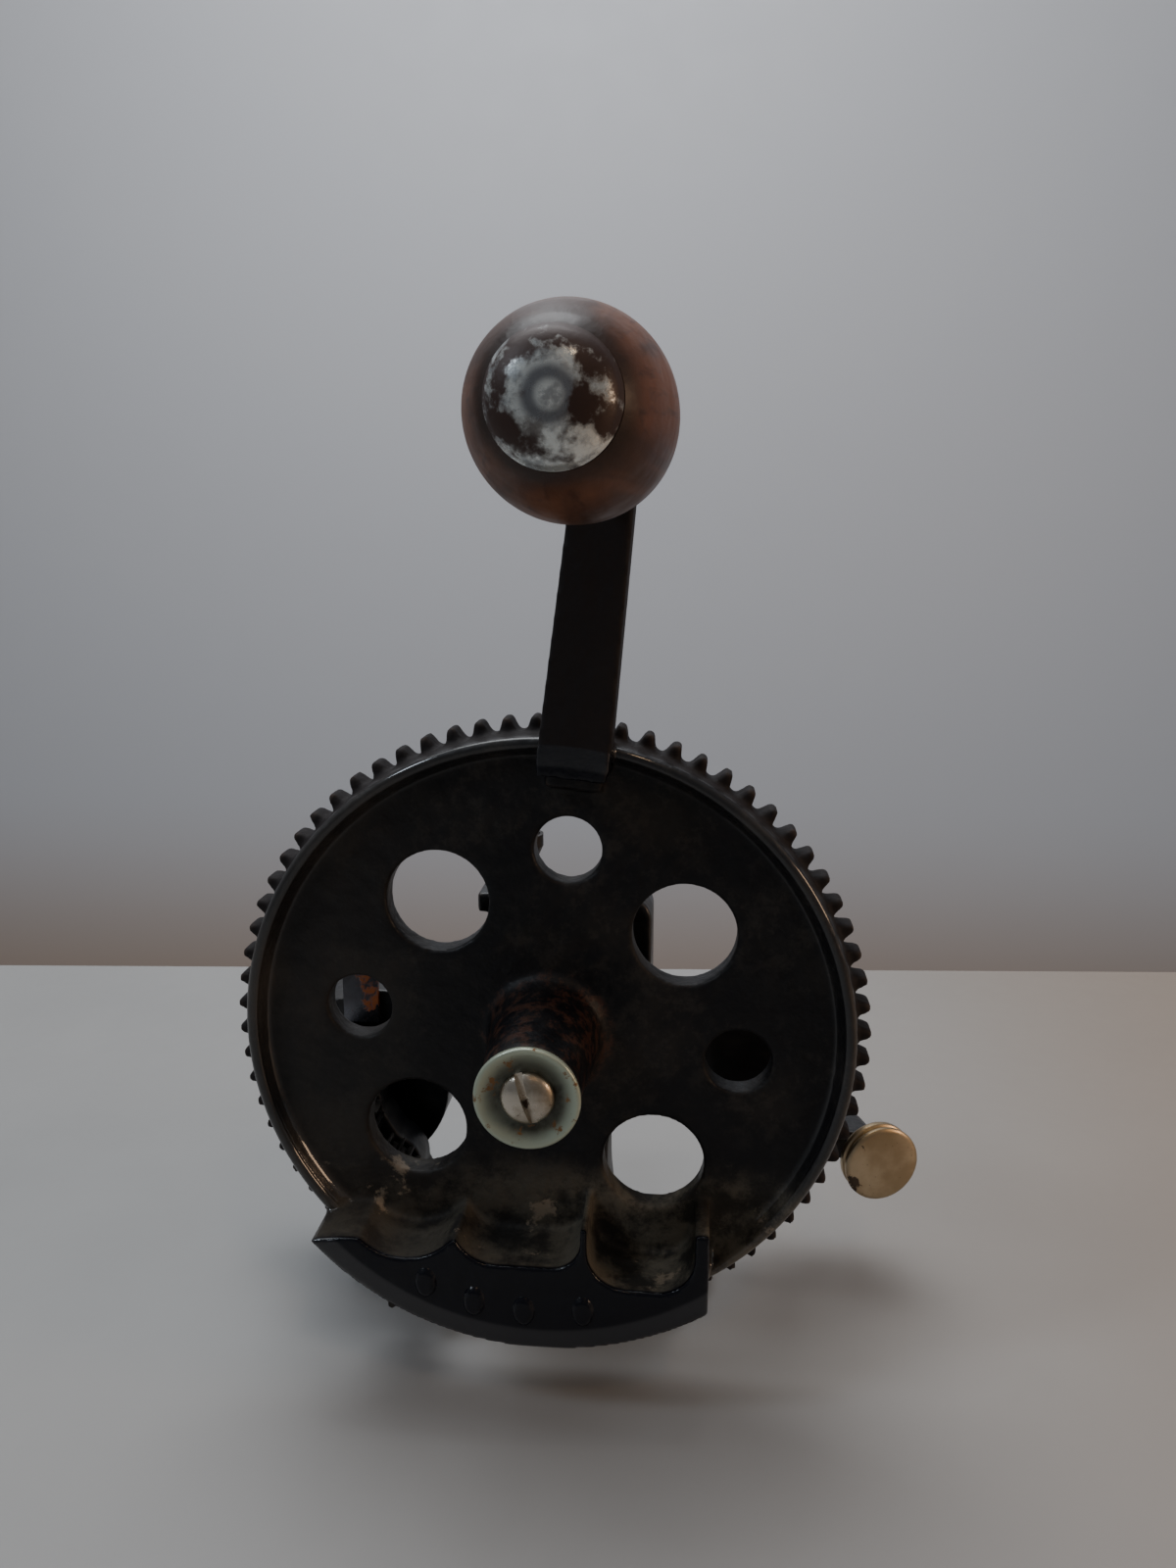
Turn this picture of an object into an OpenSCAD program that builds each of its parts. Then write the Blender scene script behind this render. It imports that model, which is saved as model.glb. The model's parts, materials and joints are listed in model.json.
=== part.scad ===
// Hand-cranked desk machine for pointing pencils with a milling cutter.
// Millimetres. X to the right, Y away from the crank side, Z up.
// The origin is on the underside of the foot, below the crank wheel's axle.

/* [Crank wheel] */
// Height of the wheel's axle above the table
axle_h = 92; // [92:0.5:110]
// Tooth module of the wheel and its pinion
wheel_module = 2; // [2]
// Number of teeth on the wheel
wheel_teeth = 72; // [72]
// Distance of the wheel's tooth plane in front of the column's middle
wheel_offset = 30; // [30:0.5:32]
// Depth of the toothed ring behind the tooth plane
ring_back = 5; // [4.5:0.5:6]
// How far the raised rim stands in front of the tooth plane
rim_front = 6.6; // [5:0.1:8]
// Radius on which the four big holes lie
big_hole_pitch_r = 39.8; // [38:0.1:41]
// Radius of a big hole
big_hole_r = 11.8; // [9:0.1:12.5]
// Radius on which the three small holes lie
small_hole_pitch_r = 44.1; // [43:0.1:46]
// Radius of a small hole
small_hole_r = 7.6; // [5:0.1:8]
// How far the hub stands in front of the tooth plane
hub_front = 31.4; // [28:0.1:32]
// How far the counterweight stands in front of the tooth plane
weight_front = 18.6; // [14:0.1:20]

/* [Crank arm and grip] */
// Distance from the axle to the grip's own axis
crank_r = 130; // [120:0.5:132]
// Angle of the arm from the X axis
arm_angle = 83.6; // [80:0.1:90]
// How far the arm's face stands in front of the tooth plane
arm_front = 14.7; // [12:0.1:16]
// Width of the arm where it leaves the rim
arm_root_w = 15.5; // [12:0.1:17]
// Width of the arm at its thin end
arm_tip_w = 12.6; // [10:0.1:15]
// Largest radius of the wooden grip
grip_r = 15.3; // [13:0.1:18]
// How far the grip's blunt end stands in front of the tooth plane
grip_front = 100; // [90:0.5:104]

/* [Drive train] */
// Number of teeth on the pinion that the wheel turns
pinion_teeth = 7; // [7]
// Direction of the pinion from the wheel's axle
pinion_angle = -118; // [-119:0.5:-117]
// Tooth module of the three back gears
back_module = 1; // [1]
// Number of teeth on each back gear
back_teeth = 20; // [20]
// Direction of the cutter spindle from the lay shaft
spindle_angle = 121; // [120:0.5:122]

/* [Cutter and carriage] */
// Radius of the milling cutter
cutter_r = 19; // [16:0.5:20]
// Slope of the cutter's face, half the angle of a pencil's point
point_angle = 11; // [9:0.5:14]
// Outer radius of the cutter guard
guard_r = 25; // [24:0.5:25]
// Radius of the hole that a pencil goes in by
pencil_bore_r = 4.2; // [3.8:0.1:4.6]
// Distance of the pencil's axis behind the column's middle
pencil_y = 23.5; // [23:0.5:24]
// Radius of the carriage's barrel
barrel_r = 13; // [12.5:0.1:13.2]

/* [Foot] */
// Thickness of the foot
foot_t = 8; // [6:0.5:8]
// Radius of a fixing hole in the foot
foot_hole_r = 2.75; // [2:0.05:3]

/* [Hidden] */
$fn = 72;

japan = "#15161b";
steel = "#8d9094";
nickel = "#c9c6b8";
brass = "#b08d4a";
wood = "#4a2217";

pressure_angle = 20;
stub_addendum = 0.8;
stub_dedendum = 1;
back_addendum = 1;
back_dedendum = 1.2;
tooth_play = 0.3;
flank_steps = 4;
tooth_phase = 1.75;

run_fit = 0.05;
press_fit = 0.02;
end_play = 0.3;

pitch_r = wheel_module * wheel_teeth / 2;
tip_r = pitch_r + stub_addendum * wheel_module;
ring_inner_r = 65.5;
tooth_front = 1.5;
web_front = 2.6;
web_back = 4;
hub_base_r = 12.5;
hub_end_r = 10.4;
boss_back = 21.7;
axle_r = 5;
axle_screw_r = 2.5;
bush_r = 7;
rim_crest_r = 68.2;
rim_outer_r = 70.2;
hole_start = 38.5;
weight_outer_r = 70.2;
weight_end_x = 38;
weight_shoulder = [[-60, -46.6], [-46, -44.8], [-20, -44.3], [-18, -39.6], [weight_end_x, -39.6]];
scallop_rounds = [
    [[-31.3, -34.9, 14.3], [-31.3, -34.9, 14.3]],
    [[-10, -39.5, 10.2], [2.5, -43, 6.7]],
    [[19.8, -45, 9.2], [26.4, -46, 8.4]]
];
grip_pin_r = 4;
arm_back = 4.2;
arm_boss_r = 8.6;
ledge_from = 58.5;
arm_from = 62.6;

wheel_y = -wheel_offset;
lay_pos = (pitch_r + wheel_module * pinion_teeth / 2) * [cos(pinion_angle), sin(pinion_angle)]
    + [0, axle_h];
idler_pos = lay_pos + back_module * back_teeth * [cos(spindle_angle), sin(spindle_angle)];
spindle_pos = 2 * idler_pos - lay_pos;
grip_pos = crank_r * [cos(arm_angle), sin(arm_angle)] + [0, axle_h];
pencil_z = spindle_pos[1];

tooth_pitch = 360 / wheel_teeth;
mesh_offset = (pinion_angle - tooth_phase) - tooth_pitch * floor((pinion_angle - tooth_phase) / tooth_pitch);
pinion_phase = pinion_angle + 180 + 180 / pinion_teeth + mesh_offset * wheel_teeth / pinion_teeth;

column_front = -8;
column_back = 8;
boss_back_y = column_back + 2;
washer_t = 1.4;
head_w = 22.8;
head_top = axle_h + 25.5;
head_corner = 6;
lug_z = axle_h + 20.5;
lug_w = 20.3;
waist_w = 12.2;
waist_z = 48;
wing_front = -4;
wing_back = 6;
shaft_r = 4;
pinion_shaft_r = 3;
shaft_bush_r = 6.5;
gear_front = -12;
gear_back = -5.2;
gear_hub_r = 6.5;

oil_cup_x = -10;
oil_pin_r = 1.5;
stud_r = 3;
screw_r = 1.5;
screw_head_r = 2.8;
guard_screw_r = 14;
guard_screw_pos = [for (side = [-1, 1]) spindle_pos + side * [0, guard_screw_r]];
foot_hole_xs = [-50, 22];
foot_hole_ys = [12, 30];
guard_front = 9;
guard_back = 26;
guard_wall = 2.5;
lobe_r = 20;
chip_plate_w = 4.75;
chip_plate_pos = [-60.5, 75.2];
chip_screw_pos = chip_plate_pos + [chip_plate_w, 19];
lobe_pos = [-51, 64];
lid_knob_pos = lobe_pos + [8, 8];
lid_t = 2;
lid_hinge = spindle_pos + [-(guard_r + 4), 0];

cutter_back = 14;
cutter_rim_t = 4;
cutter_knives = 28;

barrel_x0 = 34;
barrel_x1 = 65;
plate_x0 = 57;
chuck_r = 8.5;
chuck_x0 = 28;
chuck_x1 = 75;
bed_x1 = 55;
bed_y0 = -6;
bed_y1 = 7;
bed_z0 = 58.5;
bed_z1 = 84;
rod_r = 3.5;
rod_y = 0.5;
rod_zs = [64.8, 77.8];
rod_x0 = 26;
knob_turn = 18;
knob_pos = [85.5, 14.2, 36.6];
knob_arm_y = [24, 34];
knob_arm_z = [32.4, 40.8];
knob_arm_x1 = 80;
knob_boss_r = 4.2;
knob_stem_r = 2.5;

// Involute of an angle, in degrees of arc.
function involute(a) = tan(a) * 180 / PI - a;

// Half the angle that a tooth spans at radius r.
function half_tooth(r, rp, rb, span) =
    span + involute(pressure_angle) - involute(acos(min(1, rb / max(r, rb))));

// Outline of one gear.
module gear_outline(teeth, m, addendum, dedendum, phase, play) {
    rp = m * teeth / 2;
    rb = rp * cos(pressure_angle);
    top = rp + addendum * m;
    root = rp - dedendum * m;
    start = max(rb, root);
    span = 90 / teeth - play / 2 / rp * 180 / PI;
    relief = root < rb ? 0.8 : 1;
    radii = concat([root], [for (i = [0 : flank_steps]) start + (top - start) * i / flank_steps]);
    points = [
        for (k = [0 : teeth - 1], side = [-1, 1], i = [0 : flank_steps + 1])
            let (
                r = side < 0 ? radii[i] : radii[flank_steps + 1 - i],
                a = phase + 360 / teeth * k
                    + side * half_tooth(r, rp, rb, span) * (r < rb ? relief : 1)
            )
            r * [cos(a), sin(a)]
    ];
    polygon(points);
}

// A flat shape in the X-Z plane, from y0 back to y1.
module slab(y0, y1) {
    translate([0, y1, 0]) rotate([90, 0, 0]) linear_extrude(y1 - y0) children();
}

// A round bar along Y at pos, a point in X and Z.
module bar(pos, r, y0, y1) {
    slab(y0, y1) translate(pos) circle(r);
}

// A round bar along X at a point in Y and Z.
module cross_bar(y, z, r, x0, x1) {
    translate([x0, y, z]) rotate([0, 90, 0]) cylinder(r = r, h = x1 - x0);
}

// The wheel's own frame: local Z points to the front, zero at the tooth plane.
module at_wheel() {
    translate([0, wheel_y, axle_h]) rotate([90, 0, 0]) children();
}

// The grip's own frame, with the same local Z.
module at_grip() {
    translate([grip_pos[0], wheel_y, grip_pos[1]]) rotate([90, 0, 0]) children();
}

module hex(across) {
    circle(r = across / 2 / cos(30), $fn = 6);
}

// ---- crank wheel ----

module wheel_rim() {
    rotate_extrude($fn = 144)
        polygon([
            [ring_inner_r - 1, -web_back], [rim_outer_r, -web_back], [rim_outer_r, tooth_front],
            [rim_outer_r - 0.3, rim_front - 1.6], [rim_crest_r + 1.2, rim_front - 0.4],
            [rim_crest_r, rim_front], [rim_crest_r - 1, rim_front - 0.6],
            [ring_inner_r, web_front], [ring_inner_r - 1, web_front]
        ]);
}

module wheel_hub() {
    rotate_extrude()
        polygon([
            [bush_r, -boss_back], [hub_base_r - 0.6, -boss_back], [hub_base_r, -web_back],
            [hub_base_r + 3, -web_back], [hub_base_r + 2.5, web_front], [hub_base_r + 0.8, web_front + 1.4],
            [hub_base_r, web_front + 4], [hub_end_r, hub_front], [bush_r, hub_front]
        ]);
}

// A scallop whose lower corners are two rounds, each given as [x, y, radius].
module scallop(a, b) {
    top = -30;
    translate([a[0], a[1]]) circle(a[2]);
    translate([b[0], b[1]]) circle(b[2]);
    polygon([
        [a[0], a[1] - a[2]], [b[0], b[1] - b[2]], [b[0] + b[2], b[1]], [b[0] + b[2], top],
        [a[0] - a[2], top], [a[0] - a[2], a[1]]
    ]);
}

module wheel_weight() {
    translate([0, 0, web_front - 1]) linear_extrude(weight_front - web_front + 1) difference() {
        intersection() {
            circle(weight_outer_r, $fn = 144);
            polygon(concat(weight_shoulder, [[weight_end_x, -80], [-60, -80]]));
        }
        for (pair = scallop_rounds) scallop(pair[0], pair[1]);
    }
}

module wheel_arm() {
    rotate([0, 0, arm_angle]) {
        translate([0, 0, web_front - 1]) linear_extrude(arm_front - web_front + 1)
            polygon([
                [arm_from, -arm_root_w / 2 + 0.5], [ring_inner_r, -arm_root_w / 2],
                [ring_inner_r, arm_root_w / 2], [arm_from, arm_root_w / 2 - 0.5]
            ]);
        translate([0, 0, arm_back]) linear_extrude(arm_front - arm_back)
            polygon([
                [ring_inner_r - 0.5, -arm_root_w / 2], [crank_r, -arm_tip_w / 2],
                [crank_r, arm_tip_w / 2], [ring_inner_r - 0.5, arm_root_w / 2]
            ]);
        translate([crank_r, 0, arm_back]) cylinder(r = arm_boss_r, h = arm_front - arm_back);
        translate([ledge_from, -arm_root_w / 2 + 1.5, web_front - 1]) cube([6, arm_root_w - 3, 4]);
    }
}

module web_hole(pitch_r, r) {
    translate([pitch_r, 0, -web_back - 1]) cylinder(r = r, h = web_back + web_front + 2);
}

module wheel_outline() {
    gear_outline(wheel_teeth, wheel_module, stub_addendum, stub_dedendum, tooth_phase, tooth_play);
}

module crank_wheel() {
    color(japan) at_wheel() difference() {
        union() {
            translate([0, 0, -ring_back]) linear_extrude(ring_back + tooth_front) difference() {
                wheel_outline();
                circle(ring_inner_r, $fn = 144);
            }
            translate([0, 0, -web_back]) difference() {
                cylinder(r = ring_inner_r, h = web_back + web_front, $fn = 144);
                translate([0, 0, -1]) cylinder(r = bush_r + 1, h = web_back + web_front + 2);
            }
            wheel_rim();
            wheel_hub();
            wheel_weight();
            wheel_arm();
        }
        translate([0, 0, -boss_back - 1]) cylinder(r = bush_r + press_fit, h = boss_back + hub_front + 2);
        for (k = [0 : 3]) rotate([0, 0, hole_start + 90 * k])
            web_hole(big_hole_pitch_r, big_hole_r);
        for (k = [0 : 2]) rotate([0, 0, hole_start - 45 + 90 * k])
            web_hole(small_hole_pitch_r, small_hole_r);
        rotate([0, 0, arm_angle]) translate([crank_r, 0, 0])
            cylinder(r = grip_pin_r + press_fit, h = arm_front + 1);
    }
}

module hub_bush() {
    color(brass) at_wheel() translate([0, 0, -boss_back]) difference() {
        cylinder(r = bush_r, h = boss_back + hub_front);
        translate([0, 0, -1]) cylinder(r = axle_r + run_fit, h = boss_back + hub_front + 2);
    }
}

// ---- grip ----

// Radius of the wooden grip at a distance in front of the tooth plane.
function grip_profile(f) =
    let (neck = arm_front + 1.6, widest = grip_front - 23, u = (f - neck) / (widest - neck))
    f <= widest
        ? 8.6 + (grip_r - 8.6) * pow(sin(90 * pow(u, 0.9)), 1.35)
        : grip_r * sqrt(1 - pow((f - widest) / 29, 2));

module crank_grip() {
    neck = arm_front + 1.6;
    steps = 30;
    color(wood) at_grip() rotate_extrude()
        polygon(concat(
            [[grip_pin_r + run_fit, neck]],
            [for (i = [0 : steps]) let (f = neck + (grip_front - neck) * i / steps) [grip_profile(f), f]],
            [[grip_pin_r + run_fit, grip_front]]
        ));
}

module grip_spindle() {
    color(steel) at_grip() translate([0, 0, arm_back + 0.2])
        cylinder(r = grip_pin_r, h = grip_front + 1.8 - arm_back - 0.2);
}

module grip_washer() {
    color(nickel) at_grip() translate([0, 0, arm_front]) difference() {
        cylinder(r = 9.4, h = 1.4);
        translate([0, 0, -1]) cylinder(r = grip_pin_r + press_fit, h = 4);
    }
}

module grip_cap() {
    base = grip_front + end_play;
    color(nickel) at_grip() difference() {
        rotate_extrude()
            polygon(concat(
                [[0, base], [8.7, base], [8.9, base + 0.8]],
                [for (a = [10 : 10 : 90]) [8.6 * cos(a), base + 0.8 + 4.2 * sin(a)]]
            ));
        translate([0, 0, base - 1]) cylinder(r = grip_pin_r + press_fit, h = 1 + 1.5 + 0.02);
    }
}

// ---- axle ----

module stub_axle() {
    color(steel) difference() {
        bar([0, axle_h], axle_r, wheel_y - hub_front - 0.2, 22);
        bar([0, axle_h], axle_screw_r + press_fit, wheel_y - hub_front - 1, wheel_y - hub_front + 14);
    }
}

module cup_washer() {
    color(nickel) at_wheel() translate([0, 0, hub_front + 0.2]) rotate_extrude()
        polygon([
            [axle_screw_r + press_fit, 0], [9.2, 0], [11, 1.6], [11.2, 2.8], [10.6, 3.2], [9.6, 2.9],
            [6.2, 1.4], [axle_screw_r + press_fit, 1.4]
        ]);
}

module axle_screw() {
    seat = hub_front + 0.2 + 1.4;
    color(steel) at_wheel() difference() {
        union() {
            rotate_extrude()
                polygon(concat(
                    [[0, seat], [5.7, seat]],
                    [for (a = [0 : 15 : 90]) [5.7 * cos(a), seat + 0.6 + 2.6 * sin(a)]]
                ));
            translate([0, 0, seat - 13]) cylinder(r = axle_screw_r, h = 13.5);
        }
        rotate([0, 0, 108]) translate([-7, -0.6, seat + 1.6]) cube([14, 1.2, 3]);
    }
}

module axle_washer() {
    color(steel) difference() {
        bar([0, axle_h], 10, boss_back_y, boss_back_y + washer_t);
        bar([0, axle_h], axle_r + press_fit, column_back + 1, column_back + 5);
    }
}

module axle_nut() {
    color(steel) difference() {
        slab(boss_back_y + washer_t, boss_back_y + washer_t + 6) translate([0, axle_h]) hex(15);
        bar([0, axle_h], axle_r + press_fit, column_back, column_back + 12);
    }
}

// ---- frame ----

// Half width of the column at height z.
function column_half(z) =
    z < waist_z
        ? waist_w + (head_w + 7 - waist_w) * pow(1 - (z - foot_t) / (waist_z - foot_t), 3.2)
        : waist_w + (head_w - waist_w) * (1 - cos(180 * min(1, (z - waist_z) / (axle_h - 4 - waist_z)))) / 2;

module column_outline() {
    steps = 24;
    zs = [for (i = [0 : steps]) foot_t - 1 + (lug_z - foot_t + 1) * i / steps];
    left_limit = lug_w - 3;
    polygon(concat(
        [for (z = zs) [column_half(max(z, foot_t)), z]],
        [for (i = [0 : steps]) let (z = zs[steps - i], w = column_half(max(z, foot_t)))
            [-(z > waist_z ? min(w, left_limit) : w), z]]
    ));
    translate([0, lug_z - 6]) square([head_w, head_top - head_corner - lug_z + 6]);
    translate([-lug_w, lug_z]) square([lug_w + head_w - head_corner, head_top - lug_z]);
    translate([head_w - head_corner, head_top - head_corner]) circle(head_corner);
}

module foot_outline() {
    x0 = -62;
    x1 = 38;
    y0 = 2;
    y1 = 38;
    corner = 9;
    translate([x0 + corner, y0]) square([x1 - x0 - 2 * corner, y1 - y0]);
    translate([x0, y0 + corner]) square([x1 - x0, y1 - y0 - 2 * corner]);
    for (x = [x0 + corner, x1 - corner], y = [y0 + corner, y1 - corner]) translate([x, y]) circle(corner);
    intersection() {
        translate([0, 17]) circle(35);
        translate([-40, -20]) square([80, 30]);
    }
}

// The strap that carries the three back gears' bearings, with its foot.
module wing_outline() {
    for (pos = [lay_pos, idler_pos, spindle_pos]) translate(pos) circle(10);
    translate(lay_pos) rotate(spindle_angle) translate([0, -8]) square([norm(spindle_pos - lay_pos), 16]);
    translate([lay_pos[0] - 8, foot_t - 1]) square([16, lay_pos[1] - foot_t]);
    translate([lay_pos[0], foot_t - 1]) square([-lay_pos[0], 12]);
    translate(spindle_pos + [-4, -guard_screw_r]) square([8, 2 * guard_screw_r]);
    for (pos = guard_screw_pos) translate(pos) circle(4);
}

module frame_casting() {
    color(japan) difference() {
        union() {
            linear_extrude(foot_t) foot_outline();
            slab(column_front, column_back) column_outline();
            bar([0, axle_h], 12, column_front, boss_back_y);
            slab(wing_front, wing_back) wing_outline();
            for (pos = guard_screw_pos) bar(pos, 4, wing_back - 1, guard_front);
            translate([10, bed_y0, bed_z0]) cube([bed_x1 - 10, bed_y1 - bed_y0, bed_z1 - bed_z0]);
        }
        bar([0, axle_h], axle_r + press_fit, column_front - 1, column_back + 4);
        for (pos = [lay_pos, spindle_pos]) bar(pos, shaft_bush_r + press_fit, wing_front - 1, wing_back + 1);
        bar(idler_pos, stud_r + press_fit, wing_front - 1, wing_back + 1);
        for (pos = guard_screw_pos) bar(pos, screw_r + press_fit, wing_front + 3, guard_front + 1);
        for (z = rod_zs) cross_bar(rod_y, z, rod_r + run_fit, rod_x0 - 3, bed_x1 + 1);
        for (x = foot_hole_xs, y = foot_hole_ys)
            translate([x, y, -1]) cylinder(r = foot_hole_r, h = foot_t + 2);
        translate([oil_cup_x, 0, axle_h + 12]) cylinder(r = oil_pin_r + press_fit, h = 20);
    }
}

module oil_cup() {
    color(japan) translate([oil_cup_x, 0, head_top]) difference() {
        union() {
            rotate_extrude()
                polygon([
                    [0, 0], [4.4, 0], [4.4, 1.5], [3, 2.5], [3.2, 6], [5.2, 10.5], [5.2, 13.5], [0, 13.5]
                ]);
            translate([0, 0, -6]) cylinder(r = oil_pin_r, h = 7);
        }
        translate([0, 0, 6]) cylinder(r1 = 1.8, r2 = 4.4, h = 7.6);
    }
}

module shaft_bush(pos) {
    color(brass) difference() {
        bar(pos, shaft_bush_r, wing_front, wing_back);
        bar(pos, shaft_r + run_fit, wing_front - 1, wing_back + 1);
    }
}

module lay_bush() {
    shaft_bush(lay_pos);
}

module spindle_bush() {
    shaft_bush(spindle_pos);
}

// ---- lay shaft ----

module lay_shaft() {
    color(steel) {
        bar(lay_pos, pinion_shaft_r, wheel_y + 2, wheel_y + 11);
        bar(lay_pos, shaft_r, wheel_y + 10.6, wing_back + 5.5);
    }
}

module wheel_pinion() {
    color(steel) difference() {
        slab(wheel_y + 2.5, wheel_y + 10.5) translate(lay_pos)
            gear_outline(
                pinion_teeth, wheel_module, stub_addendum, stub_dedendum, pinion_phase, 2 * tooth_play
            );
        bar(lay_pos, pinion_shaft_r + press_fit, wheel_y, 0);
    }
}

module back_gear(pos, phase) {
    color(steel) difference() {
        union() {
            slab(gear_front, gear_back) translate(pos)
                gear_outline(back_teeth, back_module, back_addendum, back_dedendum, phase, tooth_play);
            bar(pos, gear_hub_r, gear_front - 2.5, gear_front);
        }
        bar(pos, shaft_r + press_fit, gear_front - 4, gear_back + 1);
    }
}

module lay_gear() {
    back_gear(lay_pos, spindle_angle);
}

module idler_gear() {
    color(steel) difference() {
        slab(gear_front, gear_back) translate(idler_pos)
            gear_outline(back_teeth, back_module, back_addendum, back_dedendum,
                spindle_angle + 180 / back_teeth, tooth_play);
        bar(idler_pos, stud_r + run_fit, gear_front - 1, gear_back + 1);
    }
}

module idler_stud() {
    color(steel) difference() {
        union() {
            bar(idler_pos, stud_r, gear_front - 0.5, wing_back);
            bar(idler_pos, 5, gear_front - 2, gear_front - end_play);
            bar(idler_pos, 5, gear_back + end_play, wing_front);
        }
        translate([idler_pos[0] - 6, gear_front - 3, idler_pos[1] - 0.5]) cube([12, 1.8, 1]);
    }
}

module lay_collar() {
    color(steel) difference() {
        bar(lay_pos, 7.5, wing_back + end_play, wing_back + 5);
        bar(lay_pos, shaft_r + press_fit, wing_back, wing_back + 6);
    }
}

// ---- cutter spindle ----

module cutter_spindle() {
    color(steel) bar(spindle_pos, shaft_r, gear_front - 3, cutter_back + 10.5);
}

module spindle_gear() {
    back_gear(spindle_pos, spindle_angle);
}

module milling_cutter() {
    rim = cutter_back + cutter_rim_t;
    apex = rim + cutter_r * tan(point_angle);
    color(steel) translate([spindle_pos[0], 0, spindle_pos[1]]) difference() {
        rotate([-90, 0, 0]) rotate_extrude()
            polygon([
                [shaft_r + press_fit, wing_back + end_play + 3.2], [7, wing_back + end_play + 3.2],
                [7, cutter_back], [cutter_r, cutter_back], [cutter_r, rim],
                [shaft_r + press_fit, apex - shaft_r * tan(point_angle)]
            ]);
        for (k = [0 : cutter_knives - 1]) rotate([0, k * 360 / cutter_knives, 0])
            translate([8, rim, 0]) rotate([0, 0, -point_angle])
                translate([0, (cutter_r - 8) * tan(point_angle) - 0.5, -0.5]) cube([14, 4, 1]);
    }
}

module cutter_nut() {
    nut_front = cutter_back + cutter_rim_t + cutter_r * tan(point_angle);
    color(steel) difference() {
        slab(nut_front - 0.7, nut_front + 2.8) translate(spindle_pos) hex(11);
        bar(spindle_pos, shaft_r + press_fit, 0, 40);
    }
}

// ---- cutter guard ----

// Outline of the guard: the round over the cutter and the smaller round above it.
module guard_outline(inset) {
    translate(spindle_pos) circle(guard_r - inset);
    translate(lobe_pos) circle(lobe_r - inset);
}

module cutter_guard() {
    color(japan) difference() {
        union() {
            slab(guard_front, guard_back) guard_outline(0);
            bar(lid_hinge + [1.2, 0], 3, guard_back - 10, guard_back - 0.4);
        }
        slab(guard_front + guard_wall, guard_back + 1) guard_outline(guard_wall);
        bar(spindle_pos, 8, guard_front - 1, guard_front + 5);
        translate([spindle_pos[0] + 10, pencil_y - 5.5, pencil_z - 5.5]) cube([30, 12, 11]);
        for (pos = guard_screw_pos) bar(pos, screw_r + run_fit, guard_front - 1, guard_front + 4);
        bar(lid_hinge, screw_r + press_fit, guard_back - 12, guard_back + 2);
    }
}

module guard_screws() {
    seat = guard_front + guard_wall;
    color(steel) for (pos = guard_screw_pos) difference() {
        union() {
            bar(pos, screw_r, wing_front + 3.2, seat + 0.2);
            bar(pos, screw_head_r, seat, seat + 1.6);
        }
        translate([pos[0] - 4, seat + 0.9, pos[1] - 0.4]) cube([8, 2, 0.8]);
    }
}

module lid_pin() {
    color(steel) {
        bar(lid_hinge, screw_r, guard_back - 9, guard_back + lid_t + 1.4);
        bar(lid_hinge, 2.6, guard_back + lid_t + 0.6, guard_back + lid_t + 1.6);
    }
}

module guard_lid() {
    color(japan) difference() {
        slab(guard_back + 0.3, guard_back + 0.3 + lid_t) {
            guard_outline(0);
            translate(lid_hinge) circle(4);
            translate(lid_hinge - [0, 4]) square([10, 8]);
        }
        bar(lid_hinge, screw_r + run_fit, guard_back, guard_back + lid_t + 1);
        bar(lid_knob_pos, screw_r + press_fit, guard_back, guard_back + lid_t + 1);
    }
}

module lid_knob() {
    y0 = guard_back + 0.3 + lid_t;
    color(nickel) {
        bar(lid_knob_pos, screw_r, y0 - lid_t, y0 + 1);
        bar(lid_knob_pos, screw_head_r, y0, y0 + 3);
        bar(lid_knob_pos, 4.4, y0 + 2.8, y0 + 6);
    }
}

module chip_plate() {
    color(nickel) difference() {
        slab(guard_front - 1.4, guard_front - 0.05) translate(chip_plate_pos) {
            square([2 * chip_plate_w, 20.8]);
            translate([chip_plate_w, 20.8]) circle(chip_plate_w);
        }
        bar(chip_screw_pos, screw_r + press_fit, guard_front - 3, guard_front + 1);
    }
}

module chip_plate_screw() {
    color(steel) {
        bar(chip_screw_pos, screw_r, guard_front - 1.5, guard_front - 0.05);
        bar(chip_screw_pos, screw_head_r, guard_front - 3, guard_front - 1.4);
    }
}

// ---- carriage ----

module knob_axis() {
    translate(knob_pos) rotate([0, 0, knob_turn]) rotate([90, 0, 0]) children();
}

// Outline of the carriage's end plate, drawn in Y and Z.
module plate_outline() {
    translate([pencil_y, pencil_z]) circle(barrel_r);
    translate([bed_y0, bed_z0]) square([bed_y1 - bed_y0, bed_z1 - bed_z0]);
    polygon([[bed_y0, bed_z0], [16, pencil_z - 12], [pencil_y, pencil_z + barrel_r], [bed_y1, bed_z1]]);
    translate([knob_arm_y[0] - 6, knob_arm_z[0]]) square([18, pencil_z - knob_arm_z[0]]);
}

module knob_arm_outline() {
    translate([knob_arm_y[0], knob_arm_z[0]])
        square([knob_arm_y[1] - knob_arm_y[0], knob_arm_z[1] - knob_arm_z[0]]);
}

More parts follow.
